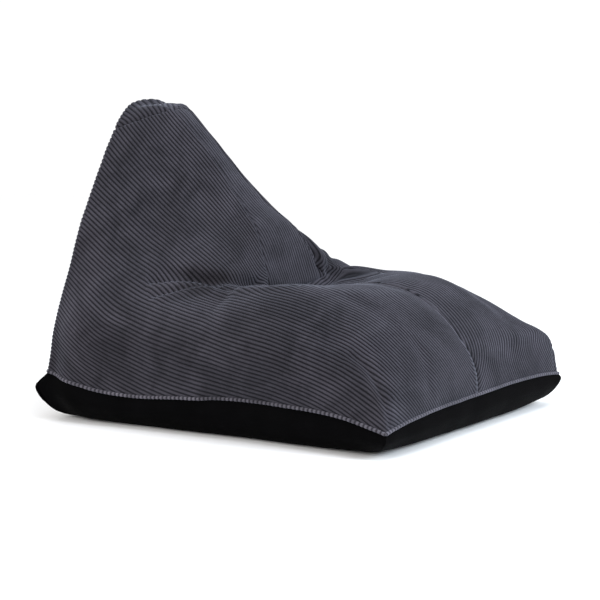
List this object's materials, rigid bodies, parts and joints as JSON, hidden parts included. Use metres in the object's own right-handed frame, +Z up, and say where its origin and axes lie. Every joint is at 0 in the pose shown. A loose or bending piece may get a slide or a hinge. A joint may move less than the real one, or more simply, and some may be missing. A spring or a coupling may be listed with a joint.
{
  "type": "bean bag chair",
  "caption": "Bean bag lounge chair with a tall pointed backrest and a hollowed seat; a zipped corduroy cover on a canvas base, with an inner liner and bead fill.",
  "frame": {"origin": "on the floor, under the middle of the whole chair's outer box", "axes": "+Z up; -Y is the way the sitter faces, so the backrest stands at +Y; +X is the sitter's left"},
  "size_m": [0.9, 1.0301, 0.7758],
  "materials": {
    "corduroy": "matte pile with a soft nap sheen",
    "canvas": "matte black woven canvas",
    "webbing": "black ribbed webbing",
    "thread": "matte thread",
    "zip_tape": "woven tape",
    "zip_coil": "moulded coil",
    "zip_metal": "satin black",
    "zip_stop": "satin",
    "liner": "thin nonwoven",
    "beads": "expanded foam beads"
  },
  "bodies": {
    "root": {"backrest_panel": "corduroy", "left_side_panel": "corduroy", "right_side_panel": "corduroy", "top_cap": "corduroy", "hem_welt": "corduroy", "base_panel": "canvas", "liner_upper": "liner", "liner_base": "liner", "bead_fill": "beads", "zip_tape_left": "zip_tape", "zip_tape_right": "zip_tape", "zip_coil_left": "zip_coil", "zip_coil_right": "zip_coil", "zip_top_stop": "zip_stop", "zip_bottom_stop": "zip_stop", "liner_zip_tape_upper": "zip_tape", "liner_zip_tape_lower": "zip_tape", "liner_zip_coil_upper": "zip_coil", "liner_zip_coil_lower": "zip_coil", "liner_zip_stop_left": "zip_stop", "liner_zip_stop_right": "zip_stop", "handle_tab": "webbing", "handle_stitching": "thread", "handle_backing_patch": "canvas"},
    "zip_slider": {"zip_slider": "zip_metal"},
    "zip_pull": {"zip_pull": "zip_metal"},
    "carry_loop": {"carry_loop": "webbing"},
    "liner_slider": {"liner_zip_slider": "zip_metal"}
  },
  "joints": [
    {"name": "zip_slide", "type": "slide", "parent": "root", "child": "zip_slider", "axis": [0, 0, 1], "range_m": [0, 0.409]},
    {"name": "zip_pull_hinge", "type": "hinge", "parent": "zip_slider", "child": "zip_pull", "pos_m": [0, 0.4829, 0.1378], "axis": [1, 0, 0], "range_deg": [0, 150]},
    {"name": "carry_loop_hinge", "type": "hinge", "parent": "root", "child": "carry_loop", "pos_m": [0, 0.4825, 0.737], "axis": [1, 0, 0], "range_deg": [0, 90]},
    {"name": "liner_zip_slide", "type": "slide", "parent": "root", "child": "liner_slider", "axis": [1, 0, 0], "range_m": [0, 0.274]}
  ]
}
